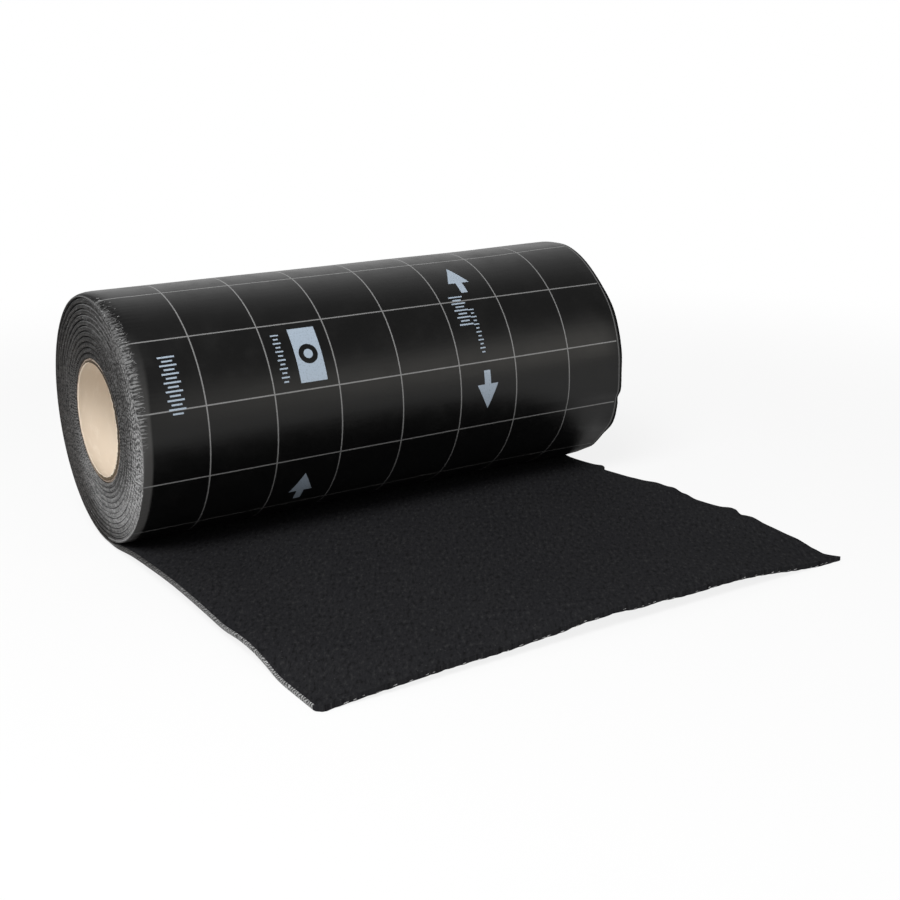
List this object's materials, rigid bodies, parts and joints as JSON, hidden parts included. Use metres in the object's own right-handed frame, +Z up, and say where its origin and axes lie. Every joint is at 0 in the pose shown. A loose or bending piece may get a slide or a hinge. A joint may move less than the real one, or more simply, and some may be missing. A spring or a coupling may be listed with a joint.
{
  "type": "roll of lead-free flashing",
  "caption": "Roll of flexible lead-free roof flashing sheet wound on a cardboard core, with its free end unrolled flat in front of the roll.",
  "frame": {"origin": "on the floor straight under the roll's axis, halfway along the roll", "axes": "+X along the roll's axis, -Y towards the cut edge of the free end, +Z up"},
  "size_m": [0.4, 0.416, 0.182],
  "materials": {
    "flashing_sheet": "satin",
    "core_board": "matte",
    "mesh_wire": "satin"
  },
  "bodies": {
    "root": {"flashing_roll": "flashing_sheet", "core_tube": "core_board"}
  },
  "joints": []
}
